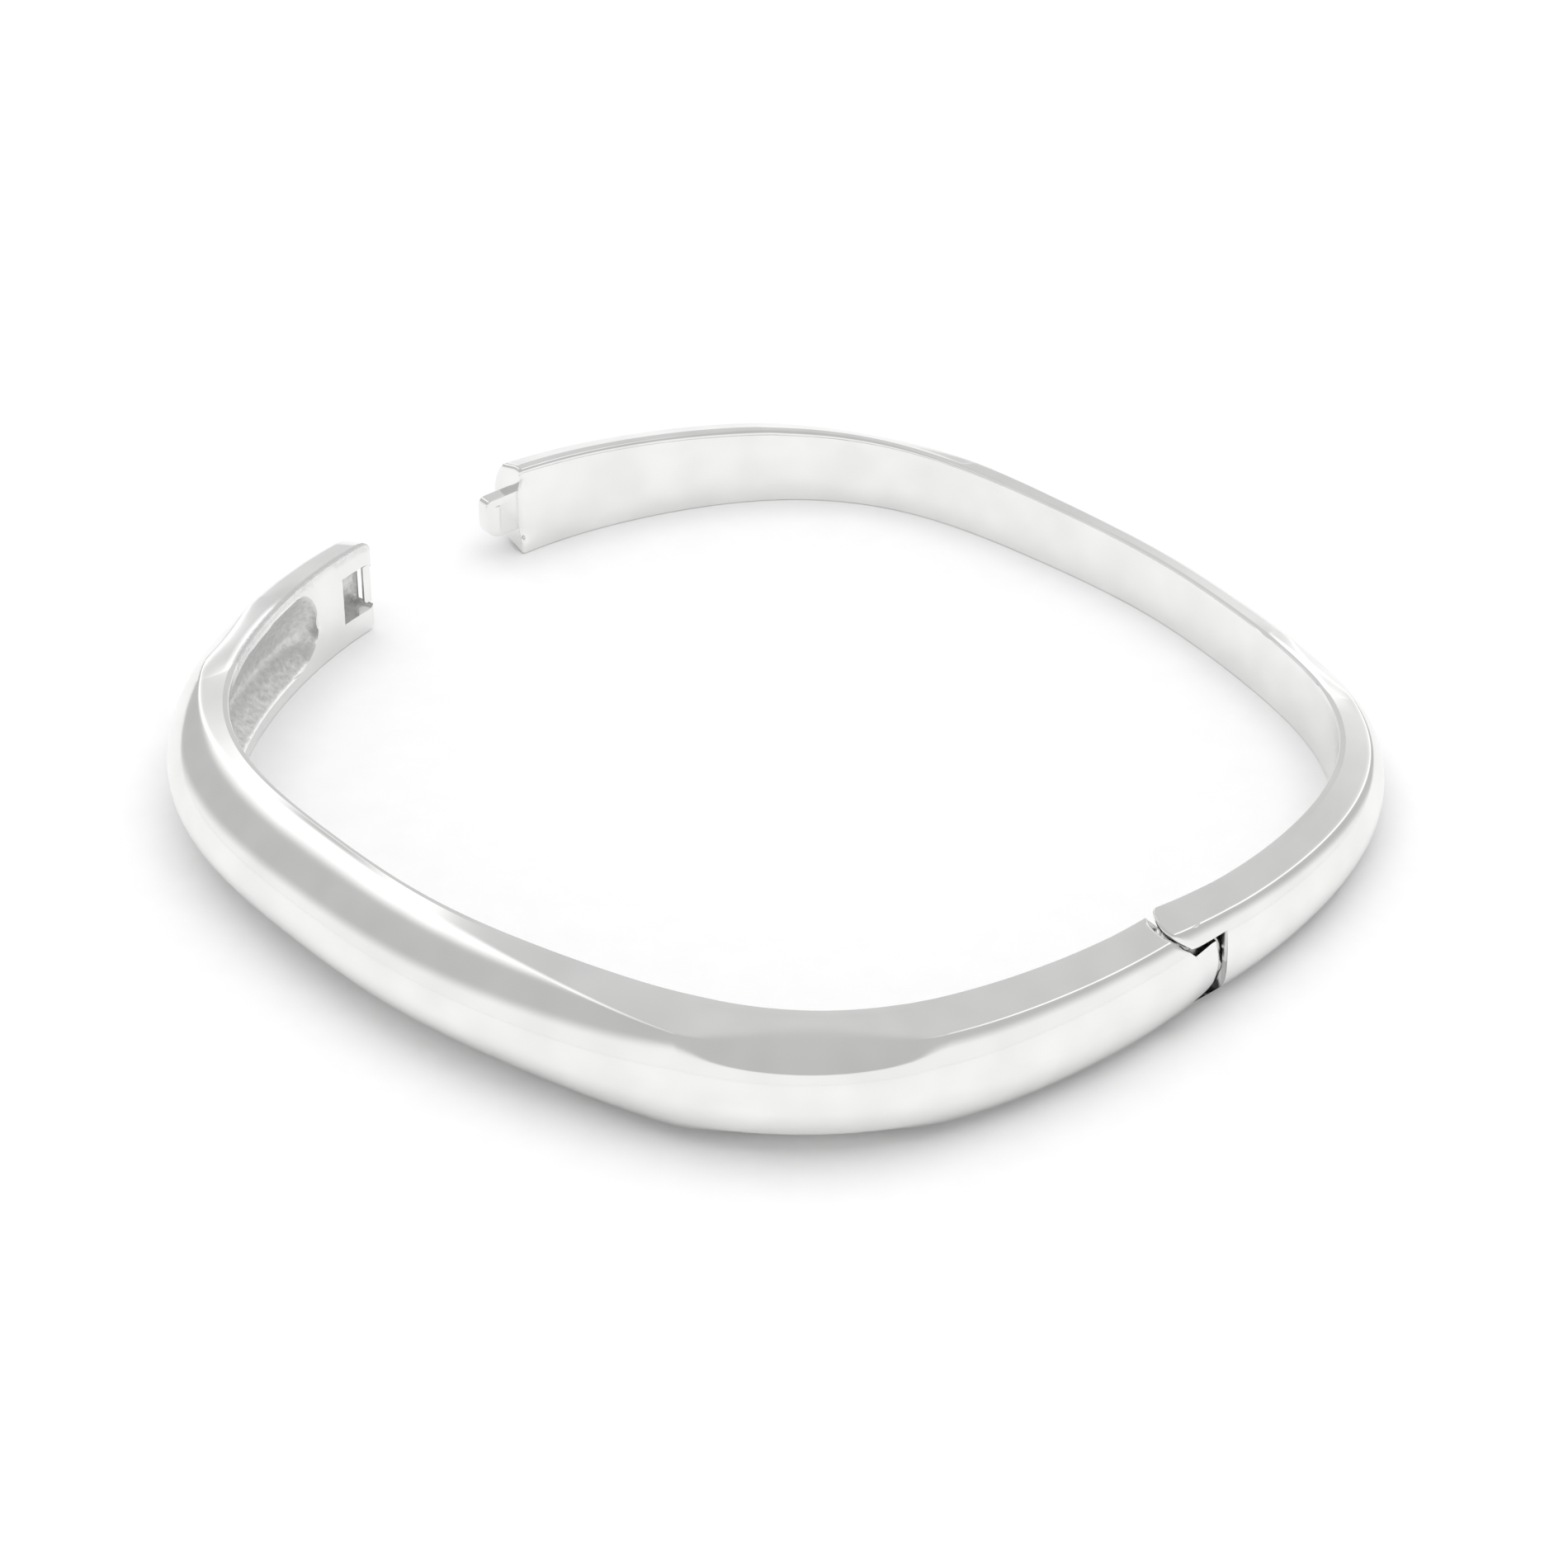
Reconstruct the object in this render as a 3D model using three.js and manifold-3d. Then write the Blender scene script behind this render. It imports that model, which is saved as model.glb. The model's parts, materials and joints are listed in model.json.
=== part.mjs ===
// A hinged silver bangle in two cast halves, standing on its lower rim and a little open.
// Seen from above, the wrist opening is an oval pulled out to four soft corners. The front half
// is deeper and thicker than the rear half. It carries the tang of the hinge at one end and the
// pocket of the snap catch at the other; the rear half carries the fork and the snap tongue.
//
// Every piece is made in the closed bangle, with the middle of the oval at the origin, the hinge
// at bearing 0 degrees and the catch at bearing 180. The front half lies from 180 to 360 degrees.
// A place on the band is a bearing, a distance u outwards from the inner face, a distance s along
// the band, and a height z above the lower rim. All lengths are millimetres.

import * as THREE from 'three';
import { mergeVertices } from 'three/addons/utils/BufferGeometryUtils.js';
import Module from 'manifold-3d';

const wasm = await Module();
wasm.setup();

// The wrist opening
const LONG_RADIUS = 29.4;
const SHORT_RADIUS = 25.6;
const CORNER_PULL = 0.034;
const CORNER_CRISPNESS = 0.006;
const SIDE_BOW = 0.003;
const LEAN_LONG = 0.007;
const LEAN_SHORT = 0.005;

// The band
const MEAN_HEIGHT = 5.9;
const FRONT_EXTRA_HEIGHT = 1.65;
const END_EXTRA_HEIGHT = 0.15;
const MEAN_THICKNESS = 3.0;
const FRONT_EXTRA_THICKNESS = 0.75;
const CORNER_EXTRA_THICKNESS = 0.15;
const CREASE_SHARE = 0.68;
const NARROW_CREASE_SHARE = 0.13;
const NARROW_CREASE_BEARING = 251;
const UPPER_LAND = 0.1;
const LOWER_LAND = 0.6;
const LEAST_STRIP = 0.3;
const STRIP_DROP = 0.12;
const STRIP_SLOPE = 0.22;
const DOME_START = THREE.MathUtils.degToRad(55);
const STRIP_STEPS = 5;
const DOME_STEPS = 6;

// The four scooped corners: from one nose of metal to the next, and the share of the thickness
// that the flat strip keeps in the middle of the scoop
const CORNER_SCOOPS = [[50, 66, 0.5], [122, 148, 0.5], [196, 214, 0.62], [304, 328.5, 0.33]];
const RIDGE_HEIGHT_SHARE = 0.48;
const SCOOP_RIDGE_SHARE = 0.97;
const SCOOP_RUN_OUT = 6.5;

// The hinge
const HINGE_U = 1.5;
const TANG_LOW = 1.0;
const TANG_HIGH = 4.4;
const TANG_RADIUS = 1.75;
const EAR_RADIUS = 2.0;
const EAR_NECK_RADIUS = 1.2;
const HINGE_GAP = 0.3;
const PIN_RADIUS = 0.5;
const PIN_CLEARANCE = 0.08;
const PIN_BELOW_SURFACE = 0.05;
const PAST_HINGE = 5;
const ABOVE_RIM = 0.5;

// The snap catch
const SEAM_GAP = 0.2;
const TONGUE_U = 0.36;
const TONGUE_LENGTH = 2.2;
const TONGUE_HALF_HEIGHT = 1.35;
const TONGUE_THICKNESS = 0.84;
const TONGUE_CORNER = 0.8;
const SOLDER_FILM = 0.05;
const PIP_RADIUS = 0.4;
const PIP_PROUD = 0.06;
const PIP_HALF_HEIGHT = 0.8;
const PIP_FROM_TIP = 0.85;
const POCKET_LENGTH = 2.6;
const POCKET_HALF_HEIGHT = 1.55;
const POCKET_DEPTH = 1.4;
const LIP_LENGTH = 0.6;
const LIP_INSET = 0.02;
const LIP_THICKNESS = 0.2;
const LIP_END_GAP = 0.05;
const LIP_FOOT_GAP = 0.5;

// The cast hollow behind the front half
const TROUGH_BEARINGS = [190.5, 300];
const TROUGH_DEPTH_SHARE = 0.5;
const TROUGH_LOWER_RIM = 0.85;
const TROUGH_UPPER_RIM = 0.45;
const TROUGH_WALL = 0.8;
const TROUGH_END_BEARING = 5;
const TROUGH_BEND = 0.35;
const TROUGH_STEPS = 30;

// How the bangle stands
const TURN = THREE.MathUtils.degToRad(-39.4);
const OPEN_ANGLE = THREE.MathUtils.degToRad(11.4);

const BEYOND = 6;
const ROUND_SIDES = 40;
const STATION_STEP = 3;

const SILVER = new THREE.MeshStandardMaterial({ color: 0xe6e6e8, roughness: 0.18, metalness: 1 });
const PIN_SILVER = new THREE.MeshStandardMaterial({ color: 0xdadadd, roughness: 0.25, metalness: 1 });
const CAST_SILVER = new THREE.MeshStandardMaterial({ color: 0xc9c9cc, roughness: 0.4, metalness: 1 });

const radians = THREE.MathUtils.degToRad;

function innerRadius(angle) {
  const oval = 1 / Math.hypot(Math.cos(angle) / LONG_RADIUS, Math.sin(angle) / SHORT_RADIUS);
  const pull = -CORNER_PULL * Math.cos(4 * angle)
    + CORNER_CRISPNESS * Math.cos(8 * angle)
    - SIDE_BOW * Math.cos(6 * angle)
    - LEAN_LONG * Math.cos(3 * angle)
    + LEAN_SHORT * Math.sin(3 * angle);
  return oval * Math.exp(pull);
}

function innerPoint(angle) {
  const radius = innerRadius(angle);
  return new THREE.Vector3(radius * Math.cos(angle), radius * Math.sin(angle), 0);
}

// The band's own axes at a bearing: x outwards, y along the band, z up.
function bandAxes(bearing) {
  const angle = radians(bearing);
  const nudge = 1e-4;
  const along = innerPoint(angle + nudge).sub(innerPoint(angle - nudge)).normalize();
  const outward = new THREE.Vector3(along.y, -along.x, 0);
  return new THREE.Matrix4()
    .makeBasis(outward, along, new THREE.Vector3(0, 0, 1))
    .setPosition(innerPoint(angle));
}

function bandHeight(bearing) {
  const angle = radians(bearing);
  return MEAN_HEIGHT - FRONT_EXTRA_HEIGHT * Math.sin(angle) + END_EXTRA_HEIGHT * Math.cos(2 * angle);
}

function bandThickness(bearing) {
  const angle = radians(bearing);
  const corner = Math.cos(4 * (angle - radians(40)));
  return MEAN_THICKNESS - FRONT_EXTRA_THICKNESS * Math.sin(angle) + CORNER_EXTRA_THICKNESS * corner;
}

// The flat strip along the rim takes this share of the thickness, least in mid front.
function creaseShare(bearing) {
  const reach = bearing < NARROW_CREASE_BEARING ? 42 : 53;
  const away = (bearing - NARROW_CREASE_BEARING) / reach;
  return Math.min(CREASE_SHARE, NARROW_CREASE_SHARE + (CREASE_SHARE - NARROW_CREASE_SHARE) * away * away);
}

// 0 on the full section, 1 in the bottom of a scoop, with a steep wall at each nose.
function scoopDepth(bearing) {
  const inside = Math.max(...CORNER_SCOOPS.map(([from, to]) => Math.min(bearing - from, to - bearing)));
  const run = THREE.MathUtils.clamp(inside / SCOOP_RUN_OUT, 0, 1);
  return Math.sqrt(1 - (1 - run) ** 2);
}

// How far out the flat strip reaches: to the crease, or less far in the middle of a scoop.
function stripReach(bearing, creaseU, thickness) {
  const scoop = CORNER_SCOOPS.find(([from, to]) => bearing > from && bearing < to);
  if (!scoop) return creaseU;
  const [from, to, share] = scoop;
  const near = THREE.MathUtils.smoothstep(Math.min(bearing - from, to - bearing), 0, (to - from) / 2);
  return THREE.MathUtils.lerp(creaseU, Math.min(creaseU, share * thickness), near);
}

// Half a section, from the rim outwards to the widest point: pairs of u and height above the middle.
// The rim is flat over the width of its land, then the strip slopes off to the crease.
function halfProfile(bearing, land) {
  const top = bandHeight(bearing) / 2;
  const thickness = bandThickness(bearing);
  const creaseU = Math.max(creaseShare(bearing) * thickness, land + LEAST_STRIP);
  const creaseY = top - STRIP_DROP - STRIP_SLOPE * creaseU;
  const points = [[0, top]];
  for (let step = 0; step <= STRIP_STEPS; step += 1) {
    const share = step / STRIP_STEPS;
    points.push([THREE.MathUtils.lerp(land, creaseU, share), THREE.MathUtils.lerp(top, creaseY, share)]);
  }
  for (let step = 1; step <= DOME_STEPS; step += 1) {
    const angle = DOME_START * (1 - step / DOME_STEPS);
    const out = (Math.cos(angle) - Math.cos(DOME_START)) / (1 - Math.cos(DOME_START));
    const y = creaseY * Math.sin(angle) / Math.sin(DOME_START);
    points.push([THREE.MathUtils.lerp(creaseU, thickness, out), y]);
  }
  const depth = scoopDepth(bearing);
  const reach = stripReach(bearing, creaseU, thickness);
  const reachY = THREE.MathUtils.mapLinear(reach, land, creaseU, top, creaseY);
  return points.map(([u, y]) => {
    if (u <= reach) return [u, y];
    const out = Math.min(1, (u - reach) / (thickness * SCOOP_RIDGE_SHARE - reach));
    const floor = THREE.MathUtils.lerp(reachY, RIDGE_HEIGHT_SHARE * top, out);
    return [u, y - depth * Math.max(0, y - floor)];
  });
}

// A whole section as a ring of pairs of u and z, with a wider land below, for the bangle to stand on.
function bandSection(bearing) {
  const middle = bandHeight(bearing) / 2;
  const upper = halfProfile(bearing, UPPER_LAND).map(([u, y]) => [u, middle + y]);
  const lower = halfProfile(bearing, LOWER_LAND).slice(0, -1).map(([u, y]) => [u, middle - y]);
  return [...upper, ...lower.reverse()];
}

// The height above the middle that the upper surface has at a distance u from the inner face.
function surfaceAt(bearing, u) {
  const profile = halfProfile(bearing, UPPER_LAND);
  const next = profile.findIndex(([there]) => there >= u);
  const [fromU, fromY] = profile[next - 1];
  const [toU, toY] = profile[next];
  return THREE.MathUtils.mapLinear(u, fromU, toU, fromY, toY);
}

// A closed body through a list of rings with the same number of points.
function loft(rings) {
  const count = rings[0].length;
  const corners = rings.flat();
  const triangles = [];
  for (let ring = 0; ring + 1 < rings.length; ring += 1) {
    for (let i = 0; i < count; i += 1) {
      const a = ring * count + i;
      const b = ring * count + (i + 1) % count;
      triangles.push(a, b, a + count, b, b + count, a + count);
    }
  }
  for (const end of [0, rings.length - 1]) {
    const centre = new THREE.Vector3();
    rings[end].forEach((corner) => centre.addScaledVector(corner, 1 / count));
    corners.push(centre);
    for (let i = 0; i < count; i += 1) {
      const a = end * count + i;
      const b = end * count + (i + 1) % count;
      triangles.push(...(end === 0 ? [b, a, corners.length - 1] : [a, b, corners.length - 1]));
    }
  }
  const geometry = new THREE.BufferGeometry().setFromPoints(corners);
  geometry.setIndex(triangles);
  return geometry;
}

function solid(geometry) {
  const bare = geometry.clone();
  bare.deleteAttribute('normal');
  bare.deleteAttribute('uv');
  const merged = mergeVertices(bare, 1e-5);
  return new wasm.Manifold(new wasm.Mesh({
    numProp: 3,
    vertProperties: new Float32Array(merged.attributes.position.array),
    triVerts: new Uint32Array(merged.index.array),
  }));
}

function geometryOf(body) {
  const mesh = body.getMesh();
  const geometry = new THREE.BufferGeometry();
  geometry.setAttribute('position', new THREE.BufferAttribute(new Float32Array(mesh.vertProperties), 3));
  geometry.setIndex(new THREE.BufferAttribute(new Uint32Array(mesh.triVerts), 1));
  geometry.computeVertexNormals();
  return geometry;
}

// The bearings that the band is lofted through, closer together where a scoop begins or ends.
function stations(from, to) {
  const bearings = [from, to];
  for (let at = from + STATION_STEP; at < to - STATION_STEP / 2; at += STATION_STEP) bearings.push(at);
  for (const nose of CORNER_SCOOPS.flatMap(([start, end]) => [start, end])) {
    for (const near of [-0.05, 0.15, 0.6, 1.5]) {
      for (const side of [-1, 1]) {
        const at = nose + side * near;
        if (at > from + 0.5 && at < to - 0.5) bearings.push(at);
      }
    }
  }
  return bearings.sort((a, b) => a - b);
}

function band(from, to) {
  const rings = stations(from, to).map((bearing) => {
    const axes = bandAxes(bearing);
    return bandSection((bearing + 360) % 360).map(([u, z]) => new THREE.Vector3(u, 0, z).applyMatrix4(axes));
  });
  return solid(loft(rings));
}

// A box between two corners given in the band's own axes at a bearing.
function boxAt(axes, low, high) {
  const size = high.map((value, i) => value - low[i]);
  const geometry = new THREE.BoxGeometry(...size);
  geometry.translate((low[0] + high[0]) / 2, (low[1] + high[1]) / 2, (low[2] + high[2]) / 2);
  return geometry.applyMatrix4(axes);
}

// A round post with an upright axis. Its radius may grow from its foot to its head.
function postAt(axes, radii, u, s, low, high) {
  const [foot, head] = radii;
  const geometry = new THREE.CylinderGeometry(head, foot, high - low, ROUND_SIDES);
  geometry.rotateX(Math.PI / 2);
  geometry.translate(u, s, (low + high) / 2);
  return geometry.applyMatrix4(axes);
}

const hingeAxes = bandAxes(0);
const claspAxes = bandAxes(180);
const hingePoint = new THREE.Vector3(HINGE_U, 0, 0).applyMatrix4(hingeAxes);
const middle = bandHeight(0) / 2;
const hingeTop = 2 * middle + ABOVE_RIM;

// The band is a little higher beside the hinge, so the upper ear's cone is cut to above the rim.
function coneToTop(foot, atRim, low) {
  return [foot, THREE.MathUtils.mapLinear(hingeTop, low, 2 * middle, foot, atRim)];
}

// What a half loses beyond the hinge: all that lies on the far side of the axis, out of its knuckle.
function beyondKnuckle(side, radii, low, high) {
  const reach = [side * BEYOND, 0].sort((a, b) => a - b);
  const far = solid(boxAt(hingeAxes, [-BEYOND, reach[0], low], [BEYOND, reach[1], high]));
  return far.subtract(solid(postAt(hingeAxes, radii, HINGE_U, 0, low, high)));
}

// The room that a half leaves for the other half's knuckle.
function knuckleRoom(side, radii, low, high) {
  const reach = [side * BEYOND, 0].sort((a, b) => a - b);
  const far = solid(boxAt(hingeAxes, [-BEYOND, reach[0], low], [BEYOND, reach[1], high]));
  return far.add(solid(postAt(hingeAxes, radii, HINGE_U, 0, low, high)));
}

function pinBore() {
  const radius = PIN_RADIUS + PIN_CLEARANCE;
  return solid(postAt(hingeAxes, [radius, radius], HINGE_U, 0, -1, 2 * middle + 1));
}

function troughSection(bearing) {
  const [from, to] = TROUGH_BEARINGS;
  const inside = Math.min(bearing - from, to - bearing);
  const open = THREE.MathUtils.clamp(inside / TROUGH_END_BEARING, 0.05, 1);
  const share = Math.sqrt(1 - (1 - open) ** 2);
  const height = bandHeight(bearing);
  const depth = bandThickness(bearing) * TROUGH_DEPTH_SHARE * share;
  const low = THREE.MathUtils.lerp(height / 2, TROUGH_LOWER_RIM, share);
  const high = THREE.MathUtils.lerp(height / 2, height - TROUGH_UPPER_RIM, share);
  const inner = Math.max(0, surfaceAt(bearing, depth) - TROUGH_WALL) * share;
  const deepHigh = Math.min(high, height / 2 + inner);
  const deepLow = Math.max(low, height / 2 - inner);
  const bend = TROUGH_BEND * depth;
  return [
    [-1, high], [0, high], [bend, high], [depth, deepHigh],
    [depth, deepLow], [bend, low], [0, low], [-1, low],
  ];
}

function trough() {
  const [from, to] = TROUGH_BEARINGS;
  const rings = [];
  for (let step = 0; step <= TROUGH_STEPS; step += 1) {
    const ease = (1 - Math.cos(Math.PI * step / TROUGH_STEPS)) / 2;
    const bearing = THREE.MathUtils.lerp(from, to, ease);
    const axes = bandAxes(bearing);
    rings.push(troughSection(bearing).map(([u, z]) => new THREE.Vector3(u, 0, z).applyMatrix4(axes)));
  }
  return solid(loft(rings));
}

function frontHalf() {
  const shoulder = EAR_RADIUS + HINGE_GAP;
  const neck = EAR_NECK_RADIUS + HINGE_GAP;
  let body = band(178, 360 + PAST_HINGE);
  body = body.subtract(solid(boxAt(claspAxes, [-BEYOND, -BEYOND, -1], [BEYOND, SEAM_GAP / 2, 2 * BEYOND])));
  body = body.subtract(knuckleRoom(1, [shoulder, shoulder], -1, TANG_LOW));
  body = body.subtract(knuckleRoom(1, coneToTop(neck, shoulder, TANG_HIGH), TANG_HIGH, hingeTop));
  body = body.subtract(beyondKnuckle(1, [TANG_RADIUS, TANG_RADIUS], 0, hingeTop));
  body = body.subtract(pinBore());
  const pocketLow = [-BEYOND, -BEYOND, middle - POCKET_HALF_HEIGHT];
  const pocketHigh = [POCKET_DEPTH, POCKET_LENGTH, middle + POCKET_HALF_HEIGHT];
  body = body.subtract(solid(boxAt(claspAxes, pocketLow, pocketHigh)));
  return geometryOf(body.subtract(trough()));
}

function rearHalf() {
  const slotLow = TANG_LOW - HINGE_GAP;
  const slotHigh = TANG_HIGH + HINGE_GAP;
  const slotRadius = TANG_RADIUS + HINGE_GAP;
  const ear = coneToTop(EAR_NECK_RADIUS, EAR_RADIUS, slotHigh);
  let body = band(-PAST_HINGE, 182);
  body = body.subtract(solid(boxAt(claspAxes, [-BEYOND, -SEAM_GAP / 2, -1], [BEYOND, BEYOND, 2 * BEYOND])));
  body = body.subtract(knuckleRoom(-1, [slotRadius, slotRadius], slotLow, slotHigh));
  body = body.subtract(beyondKnuckle(-1, [EAR_RADIUS, EAR_RADIUS], -1, slotHigh));
  body = body.subtract(beyondKnuckle(-1, ear, slotHigh, hingeTop));
  return geometryOf(body.subtract(pinBore()));
}

function hingePin() {
  const drop = STRIP_DROP + STRIP_SLOPE * HINGE_U + PIN_BELOW_SURFACE;
  return postAt(hingeAxes, [PIN_RADIUS, PIN_RADIUS], HINGE_U, 0, drop, 2 * middle - drop);
}

// A flat plate with a round-cornered tip, standing out of the rear half's end face. A pip across
// its inner side drops into the pocket's window, behind the lip.
function snapTongue() {
  const root = SOLDER_FILM - SEAM_GAP / 2;
  const half = TONGUE_HALF_HEIGHT;
  const outline = new THREE.Shape();
  outline.moveTo(root, -half);
  outline.lineTo(TONGUE_LENGTH - TONGUE_CORNER, -half);
  outline.absarc(TONGUE_LENGTH - TONGUE_CORNER, TONGUE_CORNER - half, TONGUE_CORNER, -Math.PI / 2, 0);
  outline.absarc(TONGUE_LENGTH - TONGUE_CORNER, half - TONGUE_CORNER, TONGUE_CORNER, 0, Math.PI / 2);
  outline.lineTo(root, half);
  outline.closePath();
  const plate = new THREE.ExtrudeGeometry(outline, {
    depth: TONGUE_THICKNESS, bevelEnabled: false, curveSegments: 8,
  });
  plate.rotateX(Math.PI / 2);
  plate.rotateZ(Math.PI / 2);
  plate.translate(TONGUE_U, 0, middle);
  const pip = postAt(
    new THREE.Matrix4(), [PIP_RADIUS, PIP_RADIUS],
    TONGUE_U - PIP_PROUD + PIP_RADIUS, TONGUE_LENGTH - PIP_FROM_TIP,
    middle - PIP_HALF_HEIGHT, middle + PIP_HALF_HEIGHT,
  );
  const body = solid(plate).add(solid(pip));
  return geometryOf(body).applyMatrix4(claspAxes);
}

// A strip across the pocket's mouth, level with the inner face, soldered to the pocket's upper wall.
function catchLip() {
  const start = SEAM_GAP / 2 + LIP_END_GAP;
  const low = [LIP_INSET, start, middle - POCKET_HALF_HEIGHT + LIP_FOOT_GAP];
  const high = [LIP_INSET + LIP_THICKNESS, start + LIP_LENGTH, middle + POCKET_HALF_HEIGHT - SOLDER_FILM];
  return boxAt(claspAxes, low, high);
}

function piece(name, geometry, material) {
  const mesh = new THREE.Mesh(geometry, material);
  mesh.name = name;
  return mesh;
}

const rearPieces = new THREE.Group();
rearPieces.position.copy(hingePoint).negate();
rearPieces.add(piece('rear_half', rearHalf(), SILVER));
rearPieces.add(piece('hinge_pin', hingePin(), PIN_SILVER));
rearPieces.add(piece('snap_tongue', snapTongue(), SILVER));

const rearSwing = new THREE.Group();
rearSwing.position.copy(hingePoint);
rearSwing.rotation.z = -OPEN_ANGLE;
rearSwing.add(rearPieces);

const closedBangle = new THREE.Group();
closedBangle.rotation.z = TURN;
closedBangle.add(piece('front_half', frontHalf(), SILVER));
closedBangle.add(piece('catch_lip', catchLip(), CAST_SILVER));
closedBangle.add(rearSwing);

// The bangle stands on z = 0 with its outer box centred on the origin.
const bangle = new THREE.Group();
bangle.add(closedBangle);
bangle.updateMatrixWorld(true);
const centre = new THREE.Box3().setFromObject(bangle, true).getCenter(new THREE.Vector3());
closedBangle.position.set(-centre.x, -centre.y, 0);

export default bangle;
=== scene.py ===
# %% [markdown]
# # A hinged silver bangle
#
# The real bangle is cast silver, filed, buffed to a near mirror and hinged with a riveted pin.
# The frame that is loaded here holds its five pieces in plain form, at the right size and place.
# This script makes the two cast halves, the tongue and the catch lip again with finer surfaces,
# gives every piece its finish, and sets up the floor, the light and the camera.

# %% Load the frame
import json
import math

import bpy
import numpy as np
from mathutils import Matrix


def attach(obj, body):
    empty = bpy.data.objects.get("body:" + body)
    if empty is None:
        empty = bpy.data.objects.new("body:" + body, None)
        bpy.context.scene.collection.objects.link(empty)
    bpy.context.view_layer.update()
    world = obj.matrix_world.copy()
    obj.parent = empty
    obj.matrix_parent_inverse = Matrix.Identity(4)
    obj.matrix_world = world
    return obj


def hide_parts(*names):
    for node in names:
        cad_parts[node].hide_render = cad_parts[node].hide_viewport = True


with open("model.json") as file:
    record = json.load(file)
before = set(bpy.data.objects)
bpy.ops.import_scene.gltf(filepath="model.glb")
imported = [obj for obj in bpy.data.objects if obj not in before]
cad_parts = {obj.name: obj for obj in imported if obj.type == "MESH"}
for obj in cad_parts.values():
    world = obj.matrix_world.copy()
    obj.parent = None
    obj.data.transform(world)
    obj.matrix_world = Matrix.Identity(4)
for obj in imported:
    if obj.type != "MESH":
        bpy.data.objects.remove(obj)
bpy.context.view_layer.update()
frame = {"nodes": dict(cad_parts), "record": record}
hinge = frame["record"]["behaviour"]["joints"][0]

# %% [markdown]
# ## Where a point of the band is
#
# Both halves follow one oval with four soft corners. A place on the band is a bearing in degrees,
# a distance u outwards from the inner face, and a height z. The hinge is at bearing 0 and the
# catch at bearing 180 of the closed bangle. Working in these three numbers, in millimetres, is
# what lets one short formula stand for a shape that would be slow to pull by hand. Two turns then
# bring a point to where the bangle stands: both halves turn together, and the rear half also
# swings open about the hinge pin, whose place comes from the frame.

# %% The oval of the wrist opening
LONG_RADIUS = 29.4
SHORT_RADIUS = 25.6
CORNER_PULL = 0.034
CORNER_CRISPNESS = 0.006
SIDE_BOW = 0.003
LEAN_LONG = 0.007
LEAN_SHORT = 0.005
HINGE_U = 1.5
TURN = math.radians(-39.4)
OPEN_ANGLE = math.radians(11.4)
MM = 0.001


def inner_xy(bearing):
    """The inner face's place at each bearing, in the closed bangle."""
    a = np.radians(bearing)
    oval = 1 / np.hypot(np.cos(a) / LONG_RADIUS, np.sin(a) / SHORT_RADIUS)
    pull = CORNER_CRISPNESS * np.cos(8 * a) - CORNER_PULL * np.cos(4 * a)
    lean = LEAN_SHORT * np.sin(3 * a) - LEAN_LONG * np.cos(3 * a) - SIDE_BOW * np.cos(6 * a)
    radius = oval * np.exp(pull + lean)
    return np.stack([radius * np.cos(a), radius * np.sin(a)], axis=-1)


def band_xy(bearing, u):
    """The place u outwards from the inner face."""
    nudge = 0.005
    along = inner_xy(bearing + nudge) - inner_xy(bearing - nudge)
    along /= np.linalg.norm(along, axis=-1, keepdims=True)
    outward = np.stack([along[..., 1], -along[..., 0]], axis=-1)
    return inner_xy(bearing) + outward * np.asarray(u)[..., None]


PIN_XY = band_xy(np.array(0.0), HINGE_U)


def standing(bearing, u, z, body):
    """Points of the closed bangle where the standing bangle has them, in metres."""
    turn = TURN - OPEN_ANGLE if body == "rear" else TURN
    from_pin = (band_xy(bearing, u) - PIN_XY) * MM
    x = from_pin[..., 0] * math.cos(turn) - from_pin[..., 1] * math.sin(turn)
    y = from_pin[..., 0] * math.sin(turn) + from_pin[..., 1] * math.cos(turn)
    return np.stack([x + hinge["pos_m"][0], y + hinge["pos_m"][1], np.asarray(z) * MM], axis=-1)


MM_PER_DEGREE = float(np.linalg.norm(inner_xy(np.array(0.5)) - inner_xy(np.array(-0.5))))
print("one degree at the hinge is", round(MM_PER_DEGREE, 3), "mm")

# %% [markdown]
# ## The section of the band
#
# Across, the band has a flat inner face, a flat strip along each rim, a crease, and then a dome
# down to its widest line. The front is deeper and thicker than the rear. Between two noses of
# metal the dome is scooped out down to a ridge, so that the section there is like a blade. A
# section drawn as a short list of zones, each with a fixed number of points, can be lofted along
# the whole band: the crease keeps the same point numbers all round, so it is a clean row of edges.

# %% Sizes of the band
MEAN_HEIGHT = 5.9
FRONT_EXTRA_HEIGHT = 1.65
END_EXTRA_HEIGHT = 0.15
MEAN_THICKNESS = 3.0
FRONT_EXTRA_THICKNESS = 0.75
CORNER_EXTRA_THICKNESS = 0.15
CREASE_SHARE = 0.68
NARROW_CREASE_SHARE = 0.13
NARROW_CREASE_BEARING = 251
UPPER_LAND = 0.1
LOWER_LAND = 0.6
LEAST_STRIP = 0.3
STRIP_DROP = 0.12
STRIP_SLOPE = 0.22
DOME_START = math.radians(55)
CORNER_SCOOPS = [[50, 66, 0.5], [122, 148, 0.5], [196, 214, 0.62], [304, 328.5, 0.33]]
RIDGE_HEIGHT_SHARE = 0.48
SCOOP_RIDGE_SHARE = 0.97
SCOOP_RUN_OUT = 6.5
NOSE_CURVE = 1.2
NOSE_EDGE = 0.15
RIDGE_EDGE = 0.08
STRIP_EDGE = 0.04
STRIP_FADE = 0.35


def height(bearing):
    a = np.radians(bearing)
    return MEAN_HEIGHT - FRONT_EXTRA_HEIGHT * np.sin(a) + END_EXTRA_HEIGHT * np.cos(2 * a)


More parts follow.
